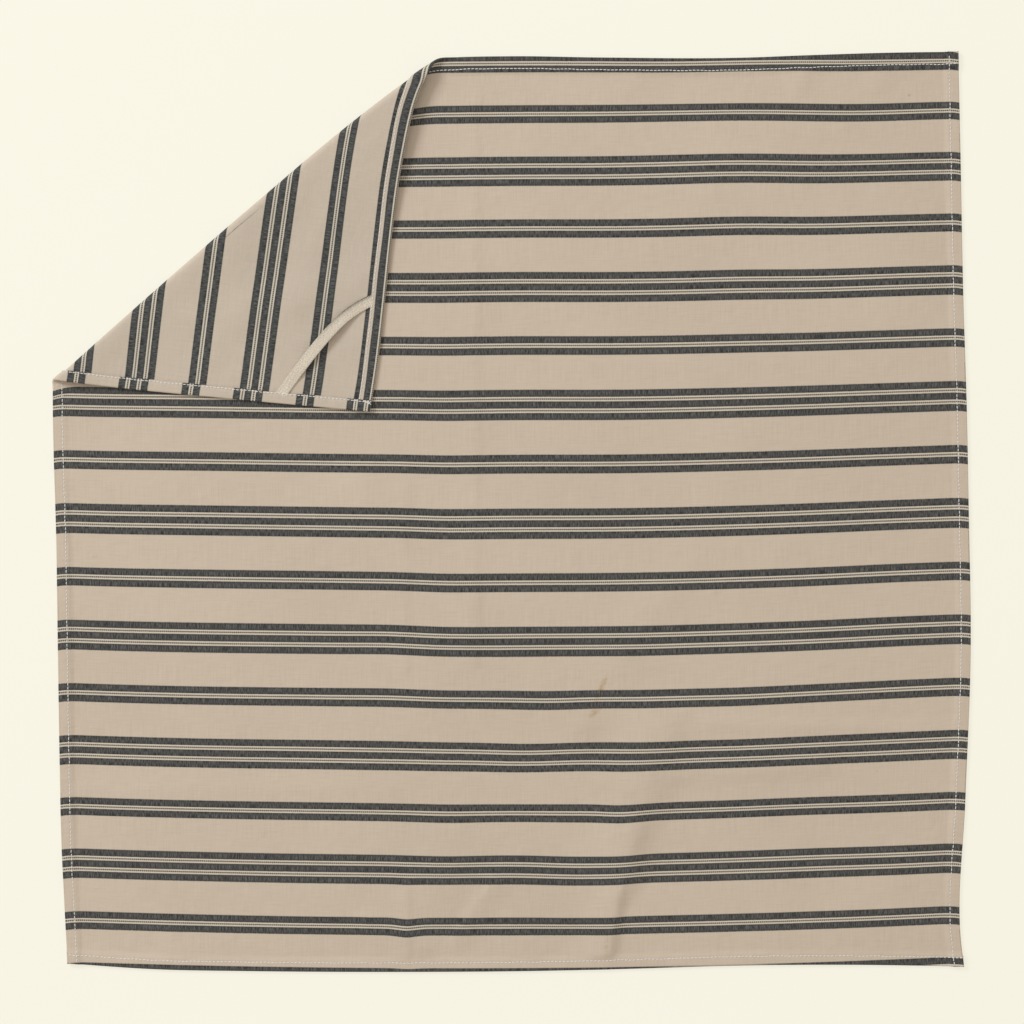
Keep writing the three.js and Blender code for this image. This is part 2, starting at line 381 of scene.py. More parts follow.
# %% Building meshes
def seam_place(x, y):
    """(distance inside the nearer upright row of stitches, the same for the level rows)."""
    gaps = {name: gap - STITCH_LINE[name] for name, gap in from_sides(x, y).items()}
    return np.minimum(gaps["left"], gaps["right"]), np.minimum(gaps["bottom"], gaps["top"])


def make_object(name, points, faces, smooth_faces, maps, normals=None):
    """An object from points in mm and a list of faces, of which the first smooth_faces are
    smooth. maps gives each UV map's (u, v) for every point, in mm. If the signed volume says that
    the faces look inwards, they are all turned over. normals, if given, has the true direction
    of the surface at every point, so that two pieces that meet are shaded alike there."""
    mesh = bpy.data.meshes.new(name)
    mesh.from_pydata((points.reshape(-1, 3) * MM).tolist(), [], faces)
    mesh.polygons.foreach_set("use_smooth", np.arange(len(faces)) < smooth_faces)
    solid = bmesh.new()
    solid.from_mesh(mesh)
    if solid.calc_volume(signed=True) < 0:
        mesh.flip_normals()
    solid.free()
    corners = np.empty(len(mesh.loops), np.int32)
    mesh.loops.foreach_get("vertex_index", corners)
    for title, (u, v) in maps.items():
        flat = np.stack(np.broadcast_arrays(u, v), axis=-1).reshape(-1, 2)[corners] * MM
        mesh.uv_layers.new(name=title).data.foreach_set("uv", flat.astype(np.float32).ravel())
    if normals is not None:
        normals = normals.reshape(-1, 3)[corners]
        normals = normals / np.linalg.norm(normals, axis=1, keepdims=True)
        of_face = np.empty(len(mesh.polygons) * 3)
        mesh.polygons.foreach_get("normal", of_face)
        sizes = np.empty(len(mesh.polygons), np.int32)
        mesh.polygons.foreach_get("loop_total", sizes)
        of_corner = np.repeat(of_face.reshape(-1, 3), sizes, axis=0)
        inwards = (normals * of_corner).sum(axis=1, keepdims=True) < 0
        normals = np.where(inwards, -normals, normals)
        normals[sizes[:smooth_faces].sum():] = 0
        mesh.normals_split_custom_set(normals.tolist())
    made = bpy.data.objects.new(name, mesh)
    bpy.context.scene.collection.objects.link(made)
    return made


def grid_faces(rows, columns, closed=False):
    """Quads between the points of a grid, counted row by row. closed joins the last column to
    the first."""
    i, j = np.mgrid[0:rows - 1, 0:columns if closed else columns - 1]
    after = (j + 1) % columns
    quads = [i * columns + j, i * columns + after, (i + 1) * columns + after, (i + 1) * columns + j]
    return np.stack([q.ravel() for q in quads], axis=1)


def lay_normal(x, y, h, reach=0.2):
    """Direction of the laid surface: the cross product of two short steps across it."""
    step_x = lay(x + reach, y, h) - lay(x - reach, y, h)
    step_y = lay(x, y + reach, h) - lay(x, y - reach, h)
    return np.cross(step_x, step_y)


def sheet(name, x, y):
    """One ply of the cloth from a grid of flat places: its front and back are the grid laid at
    plus and minus half the thickness, and a rim joins them round the edge."""
    count = x.size
    points = np.stack([lay(x, y, PLY / 2), lay(x, y, -PLY / 2)])
    normals = np.stack([lay_normal(x, y, PLY / 2), lay_normal(x, y, -PLY / 2)])
    faces = grid_faces(*x.shape)
    index = np.arange(count).reshape(x.shape)
    loop = np.concatenate([index[0], index[1:, -1], index[-1, -2::-1], index[-2:0:-1, 0]])
    after = np.roll(loop, -1)
    rim = np.stack([loop, loop + count, after + count, after], axis=1)
    every = np.concatenate([faces, faces[:, ::-1] + count, rim]).tolist()
    both = np.stack([x, x]), np.stack([y, y])
    reverse = np.stack([0 * x, 0 * x + 1 / MM])
    maps = {"weave": weave_place(*both), "seams": seam_place(*both), "side": (reverse, 0 * reverse)}
    return make_object(name, points, every, 2 * len(faces), maps, normals)


def bar(name, points, maps):
    """A closed bar from a grid of points: places along it, then points round it. The first and
    last rings are capped by one face each."""
    along, around = points.shape[:2]
    faces = grid_faces(along, around, closed=True).tolist()
    smooth_faces = len(faces)
    faces.append(list(range(around))[::-1])
    faces.append(list(range((along - 1) * around, along * around)))
    lengthways = np.gradient(points, axis=0, edge_order=2)
    sideways = np.roll(points, -1, axis=1) - np.roll(points, 1, axis=1)
    normals = np.cross(lengthways, sideways)
    return make_object(name, points, faces, smooth_faces, maps, normals)


def patch(bottom, top, left, right):
    """A grid that fills the space inside four edges (a Coons patch): the two blends between
    opposite edges are added, and the blend of the four corners is taken away once."""
    across = np.linspace(0, 1, len(bottom))[None, :, None]
    up = np.linspace(0, 1, len(left))[:, None, None]
    levels = (1 - up) * bottom[None] + up * top[None]
    uprights = (1 - across) * left[:, None] + across * right[:, None]
    corners = ((1 - up) * ((1 - across) * bottom[0] + across * bottom[-1])
               + up * ((1 - across) * top[0] + across * top[-1]))
    grid = levels + uprights - corners
    return grid[..., 0], grid[..., 1]


# %% [markdown]
# ## The panel, the curl and the flap
#
# The cloth is one sheet, but it rides on two bodies that turn against each other. So it is made in
# three pieces, the panel, the curl and the flap, which share the points of the two lines where they
# meet. Each grid follows the real outline, and its lines crowd together near the hems, where the
# shape changes fastest.
#
# The panel stops just inside the outline. The last millimetre, the rounded edge where the cloth
# turns under, belongs to the hems.

# %% Lines on the flat cloth
NOSE = 1.5 * PLY
DENSE_STEPS, DENSE_ZONE = 10, 15.0


def place_from_side(side, along, inside):
    """Flat (x, y) of the point `inside` mm in from a side, or outside it if that is negative.
    `along` is y on the upright sides and x on the level ones."""
    along, inside = np.broadcast_arrays(np.asarray(along, float), inside)
    if side in ("left", "right"):
        return (LEFT(along) + inside if side == "left" else RIGHT(along) - inside), along
    return along, (BOTTOM(along) + inside if side == "bottom" else TOP(along) - inside)


def corner(upright_side, level_side):
    """Where the edges of the panel meet: from one side's line to the other's, a few times."""
    y = 0.0
    for _ in range(8):
        x = place_from_side(upright_side, y, NOSE)[0]
        y = place_from_side(level_side, x, NOSE)[1]
    return float(x), float(y)


def spaced(start, end, count, dense=(True, True)):
    """count + 1 numbers from start to end, closer together near the ends that are dense."""
    zone = math.copysign(DENSE_ZONE, end - start)
    knots, steps = [start], [0]
    if dense[0]:
        knots.append(start + zone)
        steps.append(DENSE_STEPS)
    if dense[1]:
        knots.append(end - zone)
        steps.append(count - DENSE_STEPS)
    return np.interp(np.arange(count + 1), steps + [count], knots + [end])


def side_line(side, start, end, count, dense=(True, True)):
    """Points along the panel's edge on one side."""
    return np.stack(place_from_side(side, spaced(start, end, count, dense), NOSE), axis=1)


def curl_point(t, fraction):
    """Flat (x, y) of the point at t along the crease, this fraction of the way round the curl."""
    length = curl_length(t)
    n = crease_line(t) - CURL_REACH * length + fraction * length
    return t * ALONG[0] + n * OUT[0], t * ALONG[1] + n * OUT[1]


def crease_row(fraction, count):
    """count + 1 points across the cloth, from its left edge to its top edge, that lie this
    fraction of the way round the curl."""
    t = np.linspace(-260, 260, 2001)
    x, y = curl_point(t, fraction)
    t_left = np.interp(NOSE, x - LEFT(y), t)
    t_top = np.interp(-NOSE, y - TOP(x), t)
    return np.stack(curl_point(np.linspace(t_left, t_top, count + 1), fraction), axis=1)


# %% The three pieces of the cloth
HALF, REST, CURL_ROWS = 72, 116, 24
bottom_left, bottom_right = corner("left", "bottom"), corner("right", "bottom")
top_right, top_left = corner("right", "top"), corner("left", "top")
start_row, end_row = crease_row(0, 2 * HALF), crease_row(1, 2 * HALF)

below_crease = side_line("left", bottom_left[1], start_row[0, 1], REST, (True, False))
beside_crease = side_line("top", start_row[-1, 0], top_right[0], REST, (False, True))
panel_grid = patch(bottom=side_line("bottom", bottom_left[0], bottom_right[0], HALF + REST),
                   top=np.concatenate([start_row[HALF:], beside_crease[1:]]),
                   left=np.concatenate([below_crease, start_row[1:HALF + 1]]),
                   right=side_line("right", bottom_right[1], top_right[1], HALF + REST))
curl_grid = np.stack([crease_row(f, 2 * HALF) for f in np.linspace(0, 1, CURL_ROWS + 1)])
flap_grid = patch(bottom=end_row[HALF:],
                  top=side_line("left", end_row[0, 1], top_left[1], HALF),
                  left=end_row[HALF::-1],
                  right=side_line("top", end_row[-1, 0], top_left[0], HALF))

panel = sheet("cloth_panel", *panel_grid)
curl = sheet("cloth_curl", curl_grid[..., 0], curl_grid[..., 1])
flap = sheet("cloth_flap", *flap_grid)
for piece in (panel, curl, flap):
    print(piece.name, len(piece.data.polygons), "faces,", np.round(piece.dimensions, 3).tolist())

# %% [markdown]
# ## The hems
#
# Each side is turned under twice and sewn down, so under the panel's edge there are two more
# plies. One profile gives the whole hem: it starts at the panel's front, rounds the folded edge,
# runs back underneath, rounds the inner fold, and closes above. Where two hems cross, the left and
# right ones lie over the others' ends, so they are two plies deeper there.
#
# The machine's thread pulls the plies together at each stitch. Between stitches they puff up, so
# the profile is a little thinner at the stitches, over and over along the hem.

# %% Profile of a hem, and its bars
STITCH_PITCH = 2.8
BACK_PLIES = 2 * PLY
HEM_STEP = 0.8
PINCH, PUFF = 0.26, 0.14


def hem_profile(width):
    """(inside, height, turned) round the hem. turned is how far the cloth has gone past the
    folded edge: it is what finds the hem's place in the weave."""
    a = np.linspace(0, np.pi, 9)
    edge = np.stack([NOSE * (1 - np.sin(a)), PLY / 2 - NOSE * (1 - np.cos(a)),
                     NOSE * (a - np.pi / 2)], axis=1)
    under = np.linspace(NOSE, width - BACK_PLIES / 2, 9)[1:-1]
    underneath = np.stack([under, np.full(7, PLY / 2 - 2 * NOSE), under + 0.5], axis=1)
    b = np.linspace(-np.pi / 2, np.pi / 2, 7)
    fold = np.stack([width + BACK_PLIES / 2 * (np.cos(b) - 1), BACK_PLIES / 2 * np.sin(b) - NOSE,
                     width + 0.6 * b], axis=1)
    close = np.array([[NOSE + 0.4, -PLY / 2 - 0.03, width + 2], [NOSE, -PLY / 2 - 0.03, width + 2]])
    return np.concatenate([edge, underneath, fold, close])


def along_at(side, inside, fraction):
    """Where, along a side, the line `inside` mm in from it crosses the line that lies this
    fraction of the way round the curl."""
    along = np.linspace(60, 328, 1200) if side == "left" else np.linspace(-321, 20, 1200)
    _, s, length = crease_place(*place_from_side(side, along, inside))
    past = s - fraction * length
    return np.interp(0, past, along) if side == "left" else np.interp(0, -past, along)


def crossing(side, along, inside):
    """How far a hem lies under another hem's end: 1 there and 0 elsewhere, on the upright sides."""
    if side in ("bottom", "top"):
        return np.zeros_like(along)
    x, y = place_from_side(side, along, inside)
    gaps = from_sides(x, y)
    past = np.minimum(gaps["bottom"] - HEM["bottom"], gaps["top"] - HEM["top"])
    return 1 - smoothstep((past + 1) / 4)


def hem(name, side, start, end, slip=0.0):
    """A length of one side's hem. start and end are places along the side, or a fraction of the
    curl given as text, where the hem is cut to meet its neighbour. slip is how far the turned
    plies have crept along the side."""
    inside, height, turned = hem_profile(HEM[side]).T

    def ends(place):
        if isinstance(place, str):
            return np.array([along_at(side, gap, float(place)) for gap in inside])
        return np.full(len(inside), place)

    first, last = ends(start), ends(end)
    count = int(abs(last.mean() - first.mean()) / HEM_STEP) + 2
    f = np.linspace(0, 1, count)[:, None]
    along = first + (last - first) * f
    inside = inside + 0 * along
    depth = crossing(side, along, inside) * (height < -PLY) * BACK_PLIES
    near = np.exp(-((inside - STITCH_LINE[side]) / 1.3) ** 2) * (height < -PLY)
    pinch = near * (PINCH + PUFF * np.cos(2 * np.pi * along / STITCH_PITCH))
    creep = 0.25 * np.sin(along / 23) + 0.15 * np.sin(along / 9.1 + 1)
    inside = inside + creep * smoothstep((turned - 2) / 4)
    x, y = place_from_side(side, along, inside)
    points = lay(x, y, height - depth + pinch)
    slipped = along + slip * smoothstep((turned + 0.4) / 0.8)
    weave = weave_place(*place_from_side(side, slipped, -turned))
    reverse = smoothstep(turned) / MM + 0 * along
    maps = {"weave": weave, "seams": seam_place(x, y), "side": (reverse, 0 * reverse)}
    return bar(name, points, maps)


# %% All the hems
SHORT = 0.35
bottom_hem = hem("hem_turned_bottom", "bottom", bottom_left[0] - SHORT, bottom_right[0] + SHORT)
right_hem = hem("hem_turned_right", "right", bottom_right[1] - NOSE, top_right[1] + NOSE)
left_hems = [hem("hem_turned_left", "left", bottom_left[1] - NOSE, "0", 3.0),
             hem("hem_turned_left_curl", "left", "0", "1", 3.0),
             hem("hem_turned_left_flap", "left", "1", top_left[1] + NOSE, 3.0)]
top_hems = [hem("hem_turned_top", "top", top_right[0] + SHORT, "0"),
            hem("hem_turned_top_curl", "top", "0", "1"),
            hem("hem_turned_top_flap", "top", "1", top_left[0] - SHORT)]
hems = [bottom_hem, right_hem, *left_hems, *top_hems]
print(len(hems), "lengths of hem,", sum(len(h.data.polygons) for h in hems), "faces")

# %% [markdown]
# ## The stitches
#
# Lockstitch shows the same on both sides: a row of short lengths of thread, each sunk a little
# at both ends where it goes down the needle's hole. Every stitch is one small capsule of 26
# faces. All the stitches of a row are worked out at once and laid with the cloth, so they
# bend with it. A row is cut where the crease crosses it, by where each stitch's middle lies.

# %% One row of stitches
STITCH_LENGTH, THREAD_RADIUS = 2.3, 0.33
FRONT_PROUD, BACK_SUNK = 0.05, 0.12
RING = np.linspace(0, 2 * np.pi, 7)[:-1]


def capsules(name, ends, height, radius=THREAD_RADIUS, sink=0.25):
    """Stitches from an array of flat end points, shaped (stitches, 2 ends, x and y). Each has
    five rings of six points. The rings narrow towards the ends, and the middle stands highest.
    height is one number or one for each stitch."""
    ends = np.asarray(ends, float)
    height = np.reshape(height, (-1, 1, 1))
    f = np.array([0.0, 0.12, 0.5, 0.88, 1.0])
    size = radius * np.array([0.45, 0.9, 1.0, 0.9, 0.45])
    rise = np.sign(height) * sink * (4 * f * (1 - f) - 1)[:, None]
    middle = ends[:, None, 0] + (ends[:, None, 1] - ends[:, None, 0]) * f[None, :, None]
    way = ends[:, 1] - ends[:, 0]
    way = way / np.linalg.norm(way, axis=1, keepdims=True)
    side = np.stack([-way[:, 1], way[:, 0]], axis=1)[:, None, None]
    flat = middle[:, :, None] + side * (size[:, None] * np.cos(RING))[None, :, :, None]
    up = height + rise + size[:, None] * np.sin(RING)
    points = lay(flat[..., 0], flat[..., 1], np.broadcast_to(up, flat.shape[:-1]))
    one = grid_faces(5, 6, closed=True)
    caps = [list(range(6))[::-1], list(range(24, 30))]
    starts = np.arange(len(ends)) * 30
    quads = (one[None] + starts[:, None, None]).reshape(-1, 4).tolist()
    capped = [[index + int(start) for index in cap] for start in starts for cap in caps]
    u = np.cumsum(np.full(len(ends), STITCH_PITCH))[:, None, None] + f[None, :, None] * STITCH_LENGTH
    maps = {"thread": (u, RING[None, None, :] * radius)}
    return make_object(name, points, quads + capped, len(quads) + len(capped), maps)


def stitch_row(side, start, end):
    """End points of one side's stitches, with a slight unevenness from stitch to stitch."""
    middles = np.arange(min(start, end) + 1.6, max(start, end) - 1.0, STITCH_PITCH)
    wander = 0.12 * np.sin(middles / 3.7) + 0.08 * np.sin(middles * 1.9)
    inside = STITCH_LINE[side] + wander
    tilt = 0.07 * np.sin(middles * 2.3)
    first = np.stack(place_from_side(side, middles - STITCH_LENGTH / 2, inside - tilt), axis=1)
    last = np.stack(place_from_side(side, middles + STITCH_LENGTH / 2, inside + tilt), axis=1)
    return np.stack([first, last], axis=1)


def sewn(side, start, end):
    """Objects for one side's row, front and back: those on the panel, the curl and the flap."""
    ends = stitch_row(side, start, end)
    middle_x, middle_y = ends.mean(axis=1).T
    _, s, length = crease_place(middle_x, middle_y)
    where = np.where(s < 0, 0, np.where(s < length, 1, 2))
    front = np.full(len(ends), PLY / 2 + FRONT_PROUD)
    over = crossing(side, middle_y, STITCH_LINE[side])
    back = BACK_SUNK - PLY / 2 - BACK_PLIES * (1 + over)
    made = []
    for place, part in enumerate(("", "_curl", "_flap")):
        here = where == place
        for face, height in (("front", front), ("back", back)):
            if np.any(here):
                made.append(capsules(f"stitches_{side}{part}_{face}", ends[here], height[here]))
    return made


# %% All the rows
rows = {"bottom": sewn("bottom", bottom_left[0], bottom_right[0]),
        "right": sewn("right", bottom_right[1], top_right[1]),
        "left": sewn("left", bottom_left[1], top_left[1]),
        "top": sewn("top", top_left[0], top_right[0])}
print("rows of stitches:", {side: [o.name for o in made] for side, made in rows.items()})

# %% [markdown]
# Where the rows end, at the folded corner's tip, the thread was run back over itself. It leaves a
# small cross and two tails.

# %% Thread ends
tip_x, tip_y = LEFT(325) + 6.4, TOP(-314) - 1.2
THREAD_ENDS = [((-1.6, -1.4), (1.7, 1.0)), ((-1.2, 1.3), (1.3, -1.6)), ((0.4, -3.6), (-0.2, -0.8)),
               ((1.0, -5.0), (0.4, -2.0))]
tip_ends = [[(tip_x + dx, tip_y + dy) for dx, dy in pair] for pair in THREAD_ENDS]
thread_ends = capsules("thread_ends", tip_ends, -PLY / 2 - 2 * BACK_PLIES - 0.15)
print("thread ends:", len(tip_ends))

# %% [markdown]
# ## The loop
#
# The loop is a flat tape, caught under the hems at both ends, where its ends run on under the
# turned plies. It lies on the flap in a slack curve and stands a few millimetres off it in the
# middle. It was sewn on when the cloth was open, so its place in plan is turned back into a place
# on the open cloth, and it is laid from there like everything else, on the reverse side.

# %% Shape of the tape
loop_hinge = record_joints["loop_lift"]
LOOP_PIVOT = np.array(loop_hinge["pos_m"][:2]) / MM
LOOP_ALONG = np.array(loop_hinge["axis"][:2]) / np.linalg.norm(loop_hinge["axis"][:2])
LOOP_ACROSS = np.array([-LOOP_ALONG[1], LOOP_ALONG[0]])
TAPE_WIDTH, TAPE_THICK, TAPE_RISE, TAPE_CLEAR = 8.0, 0.9, 3.2, 0.05
# Middle of the tape: how far it lies from the hinge's line, at places along that line.
tape_line = smooth_curve([(-50, 2.2), (-38.7, 4.1), (-22, 6.3), (-2, 8.4), (14, 9.3), (30, 8.6),
                          (42, 6.1), (54, 1.8)])
TAPE_ENDS = (-47.0, 53.0)
LIFTED_PART = (-36.0, 45.0)


def unfold(x, y):
    """The point of the open cloth that lies at (x, y) on the folded flap."""
    t = x * ALONG[0] + y * ALONG[1]
    length = curl_length(t)
    start = crease_line(t) - CURL_REACH * length
    n = start + length + (start - (x * OUT[0] + y * OUT[1]))
    return t * ALONG[0] + n * OUT[0], t * ALONG[1] + n * OUT[1]


def tape_profile():
    """(across, up) round the tape: flat, with rounded selvedges."""
    a = np.linspace(-np.pi / 2, np.pi / 2, 5)
    half = TAPE_WIDTH / 2 - TAPE_THICK / 2
    right = np.stack([half + TAPE_THICK / 2 * np.cos(a), TAPE_THICK / 2 * np.sin(a)], axis=1)
    top = np.linspace(half, -half, 7)[1:-1]
    upper = np.stack([top, np.full(5, TAPE_THICK / 2)], axis=1)
    lower = np.stack([-top, np.full(5, -TAPE_THICK / 2)], axis=1)
    return np.concatenate([right, upper, -right, lower])


def tape_points():
    """The tape's rings, square to its line in plan. It rises as (1 - q^2)^2, where q goes from -1
    to 1 over the part that isn't under a hem."""
    d = np.linspace(*TAPE_ENDS, 150)[:, None]
    across, up = tape_profile().T
    slope = (tape_line(d + 0.1) - tape_line(d - 0.1)) / 0.2
    square = 1 / np.sqrt(1 + slope**2)
    along_line = d - across * slope * square
    off_line = tape_line(d) + across * square
    x, y = (LOOP_PIVOT[i] + along_line * LOOP_ALONG[i] + off_line * LOOP_ACROSS[i] for i in (0, 1))
    q = np.clip((d - sum(LIFTED_PART) / 2) / ((LIFTED_PART[1] - LIFTED_PART[0]) / 2), -1, 1)
    rise = TAPE_RISE * (1 - q * q) ** 2 + 0.15 * np.sin(d / 5.3 + 1) * np.sin(across / 2.2)
    points = lay(*unfold(x, y), -(PLY / 2 + TAPE_THICK / 2 + TAPE_CLEAR + rise + up))
    return d, across, rise, points


d, across, rise, points = tape_points()
tape = bar("loop_tape", points, {"weave": (d, across + 0 * d)})

# %% [markdown]
# ## What rides on what
#
# The panel and what is sewn to it ride on the cloth's body, and the folded corner's pieces on the
# flap's. The curl and what is on it are fixed where they lie, on neither body.


def belongs(piece, bodies, slot, *nodes):
    """Give a piece its body, its slot and its CAD nodes. A piece given the two bodies, cloth and
    flap, is fixed where it lies, on neither.
    """
    if isinstance(bodies, str):
        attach(piece, bodies)
    elif bodies == ("cloth", "flap"):
        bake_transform(piece)
    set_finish(piece, slot)
    if nodes:
        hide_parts(*nodes)


belongs(panel, "cloth", "woven_cotton", "main_panel")
belongs(curl, ("cloth", "flap"), "woven_cotton", "fold_roll")
belongs(flap, "flap", "woven_cotton", "corner_flap")
belongs(bottom_hem, "cloth", "woven_cotton", "hem_bottom")
belongs(right_hem, "cloth", "woven_cotton", "hem_right")
for (low, bent, high), node, flap_node in ((left_hems, "hem_left", "flap_lower_hem"),
                                           (top_hems, "hem_top", "flap_side_hem")):
    belongs(low, "cloth", "woven_cotton", node)
    belongs(bent, ("cloth", "flap"), "woven_cotton")
    belongs(high, "flap", "woven_cotton", flap_node)

belongs(thread_ends, "flap", "sewing_thread")
FLAP_STITCHING = {"left": "flap_lower_stitching", "top": "flap_side_stitching"}
for side, made in rows.items():
    for piece in made:
        if "_curl" in piece.name:
            belongs(piece, ("cloth", "flap"), "sewing_thread")
        elif "_flap" in piece.name:
            belongs(piece, "flap", "sewing_thread", FLAP_STITCHING[side])
        else:
            belongs(piece, "cloth", "sewing_thread", "stitching_" + side)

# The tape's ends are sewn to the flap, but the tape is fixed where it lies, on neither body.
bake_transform(tape)
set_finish(tape, "loop_tape")
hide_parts("hanging_loop")

# %% [markdown]
# ## The cut cloth
#
# The whole cloth was cut larger than it finishes, because every side is turned under twice.


# %% [markdown]
# ## Materials
#
# The colours are in the yarn: ecru warp and weft, with dark weft yarns in bands of three and of
# two, and between the dark bands a single dark pick between two pale ones. So the stripes are a
# function of the place in the weave, along v only. Each effect is a node group, and the shader
# stays in the material.
#
# Building a graph by hand is long-winded, so a small class adds a node, sets or joins what it is
# given, and returns the output socket.


# %% A short way to write nodes
class Graph:
    """A node tree, and short ways to add nodes to it."""

    def __init__(self, tree):
        self.tree = tree

    def node(self, kind, inputs=None, **settings):
        """Add a node. inputs are sockets, which are joined, or values, which are set."""
        made = self.tree.nodes.new("ShaderNode" + kind)
        for key, value in settings.items():
            setattr(made, key, value)
        for key, value in (inputs or {}).items():
            if isinstance(value, bpy.types.NodeSocket):
                self.tree.links.new(value, made.inputs[key])
            else:
                made.inputs[key].default_value = value
        return made

    def math(self, operation, *values, clamp=False):
        """One Math node on sockets or numbers."""
        inputs = dict(enumerate(values))
        return self.node("Math", inputs, operation=operation, use_clamp=clamp).outputs[0]

    def mix(self, factor, a, b, blend="MIX"):
        """One colour mixed with another."""
        inputs = {0: factor, 6: a, 7: b}
        return self.node("Mix", inputs, data_type="RGBA", blend_type=blend).outputs[2]

    def times(self, vector, factor):
        """A vector or a colour multiplied by a number, or part by part by another vector."""
        return self.node("VectorMath", {0: vector, 1: factor}, operation="MULTIPLY").outputs[0]

    def split(self, vector):
        """The first two parts of a vector."""
        return self.node("SeparateXYZ", {0: vector}).outputs[:2]

    def flat_map(self, title):
        """A UV map by its name."""
        return self.node("UVMap", uv_map=title).outputs[0]

    def use(self, tree, inputs):
        """The outputs of a node group placed here."""
        return self.node("Group", inputs, node_tree=tree).outputs

    def bump(self, height, distance, strength=1.0, normal=None):
        """A Bump node. distance is how many metres one unit of height stands for."""
        inputs = {"Height": height, "Distance": distance, "Strength": strength}
        if normal is not None:
            inputs["Normal"] = normal
        return self.node("Bump", inputs).outputs[0]

    def noise(self, vector, scale, detail=2.0, roughness=0.5):
        """Noise, from 0 to 1 with its middle at 0.5."""
        return self.node("TexNoise", {"Vector": vector, "Scale": scale, "Detail": detail,
                                      "Roughness": roughness}).outputs["Fac"]

    def stretched(self, vector, scale, move=(0, 0, 0)):
        """The vector, scaled by a different number along each axis, and moved."""
        return self.node("Mapping", {"Vector": vector, "Scale": scale,
                                     "Location": move}).outputs[0]


def group(name, vectors, numbers, outputs, build):
    """A node group. vectors names its vector inputs, numbers gives its number inputs' first
    values, and outputs names its number outputs. build is given a Graph and the input sockets by
    name, and returns the output sockets by name."""
    tree = bpy.data.node_groups.new(name, "ShaderNodeTree")
    for title in vectors:
        tree.interface.new_socket(title, in_out="INPUT", socket_type="NodeSocketVector")
    for title, value in numbers.items():
        socket = tree.interface.new_socket(title, in_out="INPUT", socket_type="NodeSocketFloat")
        socket.default_value = value
    for title in outputs:
        tree.interface.new_socket(title, in_out="OUTPUT", socket_type="NodeSocketFloat")
    results = build(Graph(tree), tree.nodes.new("NodeGroupInput").outputs)
    last = tree.nodes.new("NodeGroupOutput")
    for title, socket in results.items():
        tree.links.new(socket, last.inputs[title])
    return tree


def linear(red, green, blue):
    """A colour given as 0 to 255 in sRGB, as the linear values that a shader takes."""
    share = np.array([red, green, blue]) / 255
    values = np.where(share <= 0.04045, share / 12.92, ((share + 0.055) / 1.055) ** 2.4)
    return (*values.tolist(), 1.0)


# %% [markdown]
# ### Stripes
#
# The pattern repeats every 85 mm: three dark bands, ecru, two dark bands, ecru. A colour ramp over
# one repeat is the plainest way to draw it. A second ramp draws the single dark picks, and a third
# the pale ones. A dark pick dips under warp ends at even steps, so it shows as a row of dots.

# %% Stripe group
REPEAT = 85.2
FIRST_BAND = 2.1
BAND, BETWEEN, SOFT = 5.2, 3.15, 0.18
BAND_STARTS = [5.0, 5.0 + BAND + BETWEEN, 5.0 + 2 * (BAND + BETWEEN), 51.6, 51.6 + BAND + BETWEEN]
PICK_PLACES = [start - BETWEEN / 2 for start in (BAND_STARTS[1], BAND_STARTS[2], BAND_STARTS[4])]
PICK_HALF, PICK_SOFT = 0.54, 0.12
DOT_PITCH, DOT_SWING, DOT_MIDDLE = 1.4, 0.342, 0.779


def line(start, end, soft, inner=()):
    """A ramp's stops for one line of the pattern, with soft edges. inner has stops between."""
    return [(start - soft, 0), (start + soft, 1), *inner, (end - soft, 1), (end + soft, 0)]


def band(start):
    """Stops for one dark band, which is a shade paler in its middle."""
    return line(start, start + BAND, SOFT, [(start + BAND * 0.3, 0.95), (start + BAND * 0.7, 0.96)])


def ramp_of(graph, factor, stops):
    """A colour ramp through stops, each a place in mm along the repeat and a grey value."""
    made = graph.node("ValToRGB", {"Fac": factor})
    elements = made.color_ramp.elements
    for place, value in stops:
        element = elements.new(place / REPEAT)
        element.color = (value, value, value, 1)
    elements[-1].color = (0, 0, 0, 1)
    elements[0].color = (0, 0, 0, 1)
    return made.outputs["Color"]


def build_stripes(graph, given):
    u, v = graph.split(given["Weave"])
    thread = graph.noise(graph.stretched(given["Weave"], (2600, 260, 1)), 1.0, 1.0)
    wander = graph.math("MULTIPLY", graph.math("SUBTRACT", thread, 0.5), 0.0005)
    from_top = graph.math("SUBTRACT", (FIRST_BAND + 5.0) * MM, graph.math("ADD", v, wander))
    place = graph.math("FLOORED_MODULO", graph.math("DIVIDE", from_top, REPEAT * MM), 1.0)
    bands = [stop for start in BAND_STARTS for stop in band(start)]
    picks = [stop for middle in PICK_PLACES
             for stop in line(middle - PICK_HALF, middle + PICK_HALF, PICK_SOFT)]
    pale = [stop for middle in PICK_PLACES
            for stop in line(middle - BETWEEN / 2, middle + BETWEEN / 2, SOFT)]
    dots = graph.math("SINE", graph.math("MULTIPLY", u, 2 * math.pi / (DOT_PITCH * MM)))
    dots = graph.math("MULTIPLY_ADD", dots, DOT_SWING, DOT_MIDDLE)
    return {"Dark": ramp_of(graph, place, bands), "Pale": ramp_of(graph, place, pale),
            "Pick": graph.math("MULTIPLY", ramp_of(graph, place, picks), dots)}


stripes = group("yarn stripes", ["Weave"], {}, ["Dark", "Pale", "Pick"], build_stripes)

# %% [markdown]
# ### Threads
#
# Plain weave is a chequerboard of bumps: where the warp is on top the weft is under it. The
# product of two sine waves is that chequerboard. Cotton yarn is uneven along its length, so noise
# that is long one way and narrow the other adds thick and thin places to the picks and the ends.



